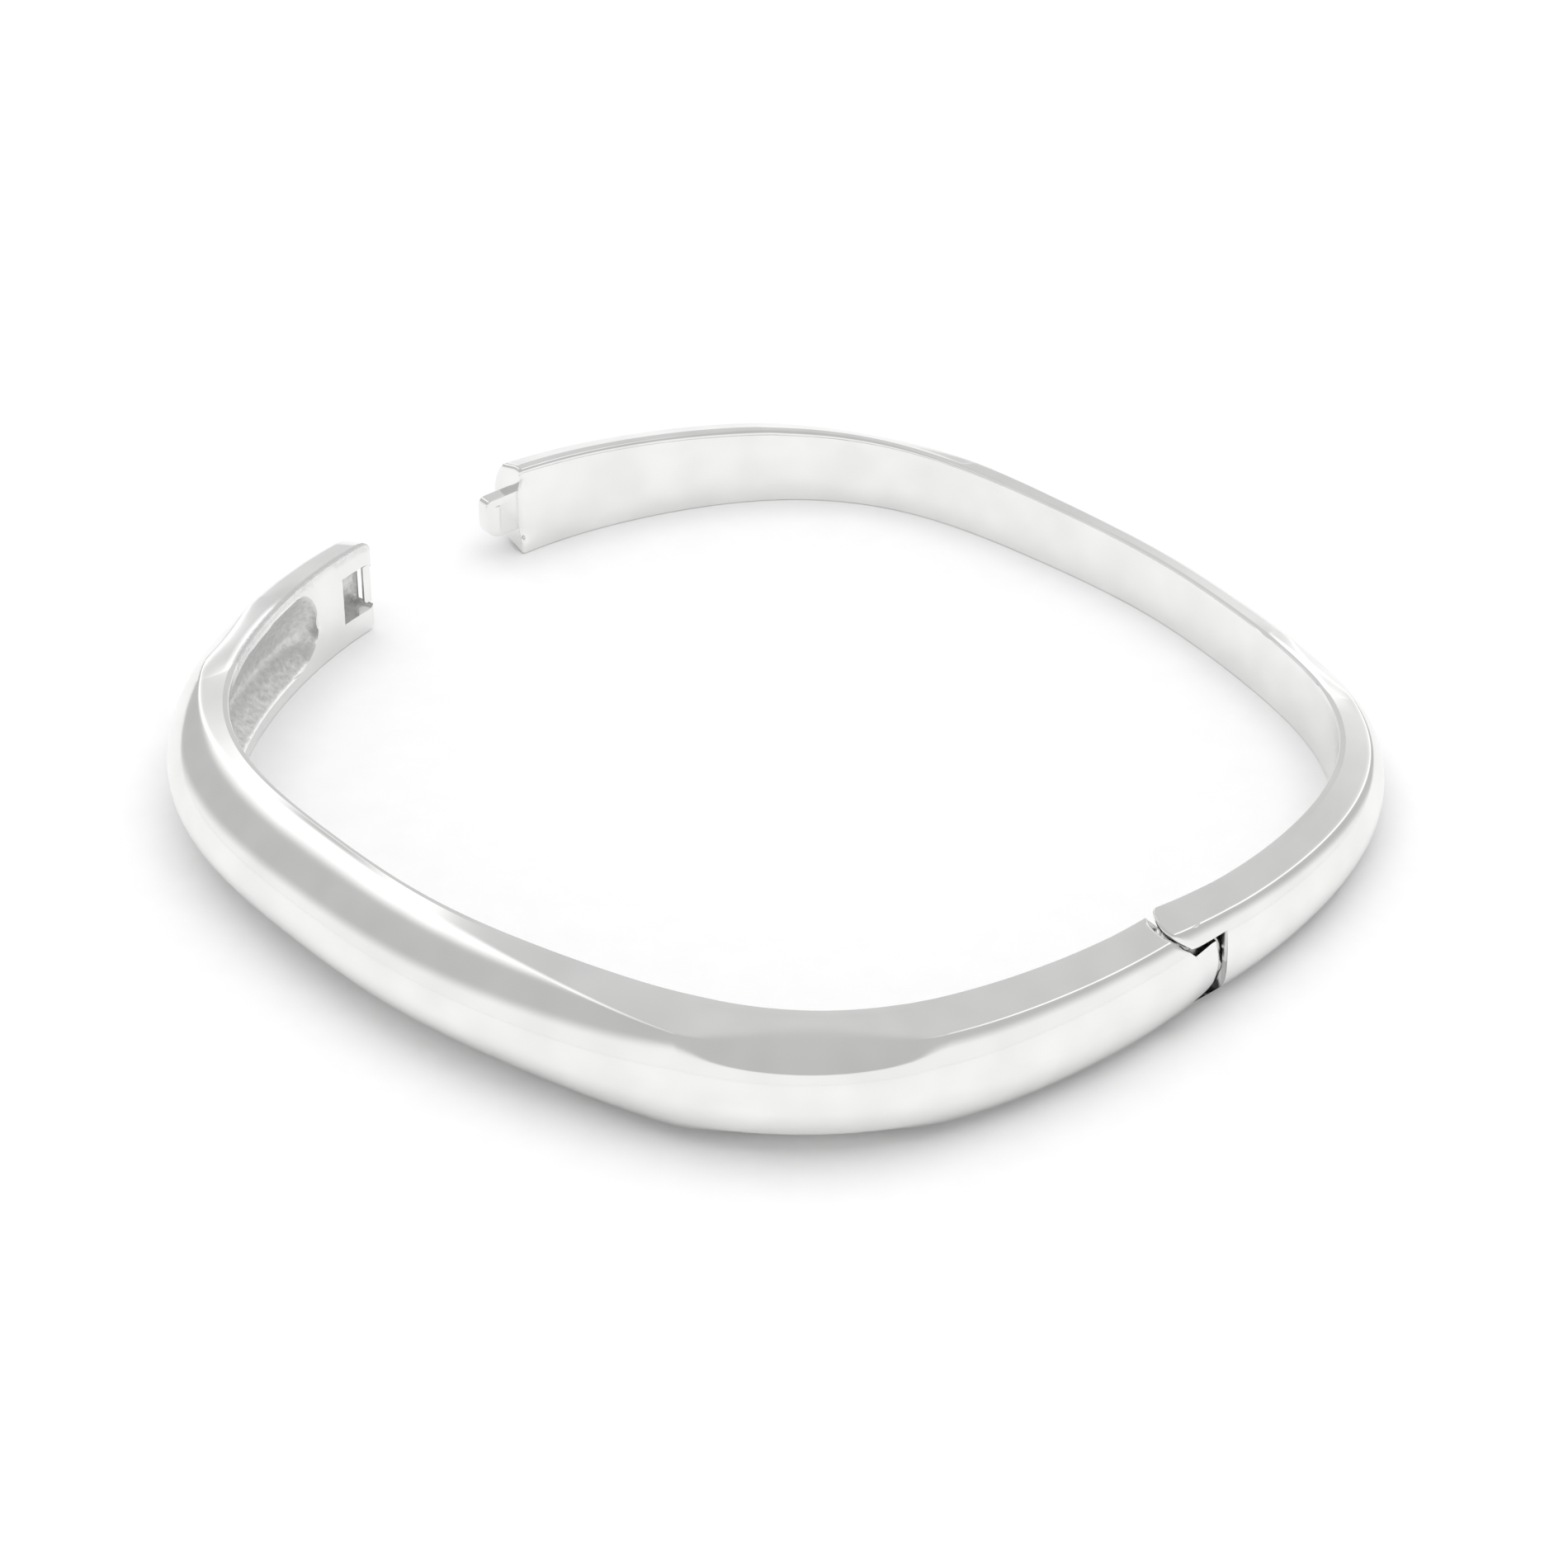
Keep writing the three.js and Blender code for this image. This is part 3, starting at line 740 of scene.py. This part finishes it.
# %% [markdown]
# ## The snap tongue and the catch lip
#
# The tongue is a flat plate, sawn out, filed round at its tip and soldered into the end of the
# rear half. Its pip is a short half-round bar. The lip is a thin strip soldered across the mouth
# of the pocket. Both are blocks with their edges broken by a file, so they start as a cube, take
# their corners from the bevel operator, and are then carried to the catch as a whole.

# %% Blocks in the band's own axes
TONGUE_LENGTH = 2.2
TONGUE_THICKNESS = 0.84
TONGUE_TOP_CORNER = 0.45
TONGUE_LOWER_CORNER = 1.1
TONGUE_ROOT = 0.3
TONGUE_BROKEN_EDGE = 0.08
LIP_CORNER = 0.25
LIP_BROKEN_EDGE = 0.04
BROKEN_EDGE_OVER_DEGREES = 40
PIP_SIDES = 32
PIP_RADIUS = 0.4
PIP_S, PIP_U, PIP_HALF_HEIGHT = 1.35, 0.7, 0.8
LIP_INSET, LIP_THICKNESS, LIP_LENGTH, LIP_START = 0.02, 0.2, 0.6, 0.15
LIP_LOW, LIP_HIGH = 1.05, 1.5


def block(name, low, high):
    """A box from low to high in u, s and z, in millimetres, still at the origin."""
    size = np.array(high) - np.array(low)
    bpy.ops.object.select_all(action="DESELECT")
    bpy.ops.mesh.primitive_cube_add(size=1, location=(np.array(low) + np.array(high)) / 2)
    piece = bpy.context.object
    piece.name = piece.data.name = name
    piece.scale = size
    bpy.ops.object.transform_apply(location=True, rotation=True, scale=True)
    return piece


def round_corner(piece, s, z, radius, segments=8):
    """The edge that runs along u at this s and z is rounded."""
    use_only(piece)
    bpy.ops.object.mode_set(mode="EDIT")
    bpy.ops.mesh.select_mode(type="EDGE")
    bpy.ops.mesh.select_all(action="DESELECT")
    bpy.ops.object.mode_set(mode="OBJECT")
    for edge in piece.data.edges:
        ends = [piece.data.vertices[i].co for i in edge.vertices]
        edge.select = all(abs(end[1] - s) < 1e-4 and abs(end[2] - z) < 1e-4 for end in ends)
    bpy.ops.object.mode_set(mode="EDIT")
    bpy.ops.mesh.bevel(offset=radius, segments=segments, profile=0.5, affect="EDGES")
    bpy.ops.object.mode_set(mode="OBJECT")


def break_edges(piece, width):
    use_only(piece)
    modifier = piece.modifiers.new("broken_edges", "BEVEL")
    modifier.width = width
    modifier.segments = 3
    modifier.limit_method = "ANGLE"
    modifier.angle_limit = math.radians(BROKEN_EDGE_OVER_DEGREES)
    bpy.ops.object.modifier_apply(modifier="broken_edges")


def carry_to_catch(piece, body):
    """From u, s and z in millimetres to the place at the catch where the piece belongs."""
    turn = TURN - OPEN_ANGLE if body == "rear" else TURN
    along = inner_xy(np.array(180.005)) - inner_xy(np.array(179.995))
    angle = math.atan2(-along[0], along[1]) + turn
    place = standing(np.array(180.0), np.array(0.0), np.array(float(height(180)) / 2), body)
    use_only(piece)
    piece.scale = (MM, MM, MM)
    piece.rotation_euler = (0, 0, angle)
    piece.location = place
    bpy.ops.object.transform_apply(location=True, rotation=True, scale=True)


# %% The tongue
tongue = block(
    "snap_tongue_filed",
    (TONGUE_U, -SEAM_GAP / 2 - TONGUE_ROOT, -TONGUE_HALF_HEIGHT),
    (TONGUE_U + TONGUE_THICKNESS, TONGUE_LENGTH, TONGUE_HALF_HEIGHT),
)
round_corner(tongue, TONGUE_LENGTH, TONGUE_HALF_HEIGHT, TONGUE_TOP_CORNER)
round_corner(tongue, TONGUE_LENGTH, -TONGUE_HALF_HEIGHT, TONGUE_LOWER_CORNER, segments=12)
break_edges(tongue, TONGUE_BROKEN_EDGE)
bpy.ops.object.select_all(action="DESELECT")
bpy.ops.mesh.primitive_cylinder_add(
    vertices=PIP_SIDES, radius=PIP_RADIUS, depth=2 * PIP_HALF_HEIGHT,
    location=(PIP_U, PIP_S, 0),
)
pip = bpy.context.object
use_only(tongue)
joining = tongue.modifiers.new("pip", "BOOLEAN")
joining.operation = "UNION"
joining.solver = "EXACT"
joining.object = pip
bpy.ops.object.modifier_apply(modifier="pip")
bpy.data.objects.remove(pip)
carry_to_catch(tongue, "rear")
finish_edges(tongue)

# %% The catch lip
lip = block(
    "catch_lip_strip",
    (LIP_INSET, LIP_START, -LIP_LOW),
    (LIP_INSET + LIP_THICKNESS, LIP_START + LIP_LENGTH, LIP_HIGH),
)
round_corner(lip, LIP_START + LIP_LENGTH, -LIP_LOW, LIP_CORNER)
break_edges(lip, LIP_BROKEN_EDGE)
carry_to_catch(lip, "front")
finish_edges(lip)

# %% [markdown]
# ## Finishes
#
# Sterling silver buffed on a wheel is a near mirror, with fine lines along the band where the
# wheel ran and slow waves where more was taken off. In the trough and the pocket no wheel
# reaches, so the sandy skin of the casting stays. One recipe makes both: a skin value of 0 or 1
# mixes the roughness, the tone and the depth of the grain. The pin is drawn wire. Patterns are
# made by formula from each piece's own coordinates, in real sizes, so they never stretch.

# %% Helpers for shader nodes
NOISE_ROUGHNESS = 0.55


def linear(code):
    """Linear colour from an sRGB hex code."""
    channels = [int(code[i:i + 2], 16) / 255 for i in (1, 3, 5)]
    return [c / 12.92 if c <= 0.04045 else ((c + 0.055) / 1.055) ** 2.4 for c in channels] + [1.0]


def add(tree, kind, settings=None, inputs=None):
    """A node with its settings, its input values and its links from other nodes' outputs."""
    node = tree.nodes.new(kind)
    for name, value in (settings or {}).items():
        setattr(node, name, value)
    for name, value in (inputs or {}).items():
        if isinstance(value, bpy.types.NodeSocket):
            tree.links.new(value, node.inputs[name])
        else:
            node.inputs[name].default_value = value
    return node


def noise(tree, place, size_mm, detail):
    """Noise whose patches are about this many millimetres across."""
    inputs = {
        "Vector": place, "Scale": 1 / (size_mm * MM), "Detail": detail,
        "Roughness": NOISE_ROUGHNESS,
    }
    return add(tree, "ShaderNodeTexNoise", None, inputs).outputs["Fac"]


def spread(tree, value, low, high):
    """The middle of a noise spread over a range."""
    inputs = {"Value": value, "From Min": 0.3, "From Max": 0.7, "To Min": low, "To Max": high}
    return add(tree, "ShaderNodeMapRange", None, inputs).outputs["Result"]


def blend(tree, share, first, second):
    """Between two numbers."""
    inputs = {0: share, 2: first, 3: second}
    return add(tree, "ShaderNodeMix", {"data_type": "FLOAT"}, inputs).outputs[0]


def blend_colour(tree, share, first, second):
    """Between two colours."""
    inputs = {0: share, 6: first, 7: second}
    return add(tree, "ShaderNodeMix", {"data_type": "RGBA"}, inputs).outputs[2]


# %% The silver recipe
WAVE_MM = 3.0
LINE_MM = 1.2
LINE_STRETCH = 12
RIPPLE_STRENGTH = 0.03
RIPPLE_MM = 0.02
PIT_STRENGTH = 0.9
PIT_MM = 0.06


def silver(name, skin_attribute, buffed, rough, tones, grain_mm):
    """Silver that is buffed where the skin value is 0 and as cast where it is 1."""
    material = bpy.data.materials.new(name)
    material.use_nodes = True
    tree = material.node_tree
    surface = tree.nodes["Principled BSDF"]
    place = add(tree, "ShaderNodeTexCoord").outputs["Object"]
    if skin_attribute:
        skin = add(tree, "ShaderNodeAttribute", {"attribute_name": skin_attribute}).outputs["Fac"]
    else:
        skin = add(tree, "ShaderNodeValue").outputs[0]
        skin.default_value = 0.0
    waves = noise(tree, place, WAVE_MM, 1)
    sand = noise(tree, place, grain_mm, 4)
    stretch = {"Vector": place, "Scale": (1, 1, LINE_STRETCH)}
    lines_place = add(tree, "ShaderNodeMapping", None, stretch)
    lines = noise(tree, lines_place.outputs[0], LINE_MM, 3)
    smooth_rough = blend(tree, 0.5, spread(tree, waves, *buffed), spread(tree, lines, *buffed))
    roughness = blend(tree, skin, smooth_rough, spread(tree, sand, *rough))
    tone = blend_colour(tree, spread(tree, waves, 0, 1), linear(tones[0]), linear(tones[1]))
    dull = blend_colour(tree, spread(tree, sand, 0, 1), linear(tones[2]), linear(tones[3]))
    ripple = add(tree, "ShaderNodeBump", None, {
        "Strength": RIPPLE_STRENGTH, "Distance": RIPPLE_MM * MM, "Height": waves,
    })
    depth = blend(tree, skin, 0.0, PIT_STRENGTH)
    pits = add(tree, "ShaderNodeBump", None, {
        "Strength": depth, "Distance": PIT_MM * MM, "Height": sand, "Normal": ripple.outputs[0],
    })
    tree.links.new(blend_colour(tree, skin, tone, dull), surface.inputs["Base Color"])
    tree.links.new(roughness, surface.inputs["Roughness"])
    tree.links.new(pits.outputs[0], surface.inputs["Normal"])
    surface.inputs["Metallic"].default_value = 1.0
    print("material", name)
    return material


TONES = ("#F3F3F2", "#ECECEB", "#E4E4E3", "#CFCFCE")
CAST_ROUGH = (0.3, 0.48)
SAND_MM = 0.35
WIRE_MM = 0.2
buffed_silver = silver(
    "buffed_sterling_silver", "as_cast", (0.09, 0.15), CAST_ROUGH, TONES, SAND_MM
)
filed_silver = silver("filed_sterling_silver", "", (0.16, 0.3), CAST_ROUGH, TONES, SAND_MM)
drawn_silver = silver("drawn_silver_wire", "", (0.18, 0.26), CAST_ROUGH, TONES, WIRE_MM)

# %% Putting the finishes on
for piece, body, node, finish, slot in (
    (front, "front", "front_half", buffed_silver, "polished_silver"),
    (lip, "front", "catch_lip", filed_silver, "cast_silver"),
    (rear, "rear", "rear_half", buffed_silver, "polished_silver"),
    (tongue, "rear", "snap_tongue", buffed_silver, "polished_silver"),
):
    piece.data.materials.clear()
    piece.data.materials.append(finish)
    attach(piece, body)
    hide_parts(node)
    print(piece.name, "rides on", body, "and stands in for", node)
frame["nodes"]["hinge_pin"].data.materials.clear()
frame["nodes"]["hinge_pin"].data.materials.append(drawn_silver)

# %% [markdown]
# ## Floor, tent and lamp
#
# Silver shows nothing of its own: it shows the room. Small silver is shown best in a white tent
# on white paper, with darker cloth higher up so that the facets stand apart. The tent's
# brightness is set by the slope of silver that would mirror it to the viewer: level strips are
# mid grey, the steep facet darker, the domed side bright, and a bright line lies between strip
# and facet on the left and right. The lamp lights the paper and is left out of reflections, as a
# real one stands outside the tent.

# %% The paper floor
PAPER_SIZE = 6
PAPER_GRAIN_MM = 2.0
PAPER_ROUGHNESS = 0.95
bpy.ops.object.select_all(action="DESELECT")
bpy.ops.mesh.primitive_plane_add(size=PAPER_SIZE, location=(0, 0, 0))
floor = bpy.context.object
floor.name = floor.data.name = "paper"
paper = bpy.data.materials.new("white_paper")
paper.use_nodes = True
paper_tree = paper.node_tree
paper_place = add(paper_tree, "ShaderNodeTexCoord").outputs["Object"]
paper_grain = noise(paper_tree, paper_place, PAPER_GRAIN_MM, 3)
paper_tone = blend_colour(paper_tree, paper_grain, linear("#F1F1F1"), linear("#F6F6F6"))
paper_surface = paper_tree.nodes["Principled BSDF"]
paper_tree.links.new(paper_tone, paper_surface.inputs["Base Color"])
paper_surface.inputs["Roughness"].default_value = PAPER_ROUGHNESS
floor.data.materials.append(paper)

# %% The tent
VIEW_ELEVATION = math.radians(34.37)
LEVEL, FACET, DOME, LINE = 0.69, 0.58, 1.0, 1.3
FACET_TILT = (16, 34)
DOME_TILT = (50, 60)
LINE_STARTS = (22, 28)
LINE_ENDS = (29, 35)
SIDE_FROM, SIDE_TO = 0.12, 0.32
toward_viewer = (0, -math.cos(VIEW_ELEVATION), math.sin(VIEW_ELEVATION))

tent = bpy.data.worlds.new("tent")
bpy.context.scene.world = tent
tent.use_nodes = True
sky = tent.node_tree
look = add(sky, "ShaderNodeTexCoord").outputs["Generated"]
halfway = add(sky, "ShaderNodeVectorMath", {"operation": "ADD"}, {0: look, 1: toward_viewer})
slope = add(sky, "ShaderNodeVectorMath", {"operation": "NORMALIZE"}, {0: halfway.outputs[0]})
parts = add(sky, "ShaderNodeSeparateXYZ", None, {0: slope.outputs[0]})
tilt = add(sky, "ShaderNodeMath", {"operation": "ARCCOSINE"}, {0: parts.outputs["Z"]})


def step(value, low, high, first, last):
    """A smooth step between two values of tilt, in degrees."""
    inputs = {
        "Value": value, "From Min": math.radians(low), "From Max": math.radians(high),
        "To Min": first, "To Max": last,
    }
    settings = {"interpolation_type": "SMOOTHSTEP"}
    return add(sky, "ShaderNodeMapRange", settings, inputs).outputs["Result"]


to_facet = step(tilt.outputs[0], *FACET_TILT, 0, 1)
to_dome = step(tilt.outputs[0], *DOME_TILT, 0, 1)
line = add(sky, "ShaderNodeMath", {"operation": "MULTIPLY"}, {
    0: step(tilt.outputs[0], *LINE_STARTS, 0, 1), 1: step(tilt.outputs[0], *LINE_ENDS, 1, 0),
})
aside = add(sky, "ShaderNodeMath", {"operation": "ABSOLUTE"}, {0: parts.outputs["X"]})
at_side = add(sky, "ShaderNodeMapRange", {"interpolation_type": "SMOOTHSTEP"}, {
    "Value": aside.outputs[0], "From Min": SIDE_FROM, "From Max": SIDE_TO,
    "To Min": 0.0, "To Max": 1.0,
})
side_line = add(sky, "ShaderNodeMath", {"operation": "MULTIPLY"}, {
    0: line.outputs[0], 1: at_side.outputs["Result"],
})
brightness = blend(sky, to_facet, LEVEL, FACET)
brightness = blend(sky, to_dome, brightness, DOME)
brightness = blend(sky, side_line.outputs[0], brightness, LINE)
sky.links.new(brightness, sky.nodes["Background"].inputs["Color"])

# %% The lamp above the paper
LAMP_SIZE = 1.2
LAMP_ENERGY = 6.5
LAMP_HEIGHT = 1.0
lamp_data = bpy.data.lights.new("lamp", "AREA")
lamp_data.size = LAMP_SIZE
lamp_data.energy = LAMP_ENERGY
lamp = bpy.data.objects.new("lamp", lamp_data)
bpy.context.scene.collection.objects.link(lamp)
lamp.location = (0, 0, LAMP_HEIGHT)
lamp.visible_glossy = False
bpy.context.scene.view_settings.view_transform = "Standard"

# %% [markdown]
# ## The camera
#
# A long lens from a little above keeps the oval almost free of perspective. The camera looks
# along +Y at a point close to the middle of the wrist opening.

# %% Placing the camera
TARGET = np.array([0.444, -4.346, 2.94]) * MM
DISTANCE = 241.35 * MM
LENS_MM = 100.65
SENSOR_MM = 36
camera_data = bpy.data.cameras.new("camera")
camera_data.lens = LENS_MM
camera_data.sensor_width = SENSOR_MM
camera_data.clip_start = 0.01
camera_data.clip_end = 10
camera = bpy.data.objects.new("camera", camera_data)
bpy.context.scene.collection.objects.link(camera)
camera.location = TARGET + DISTANCE * np.array(toward_viewer)
camera.rotation_euler = (math.pi / 2 - VIEW_ELEVATION, 0, 0)
bpy.context.scene.camera = camera
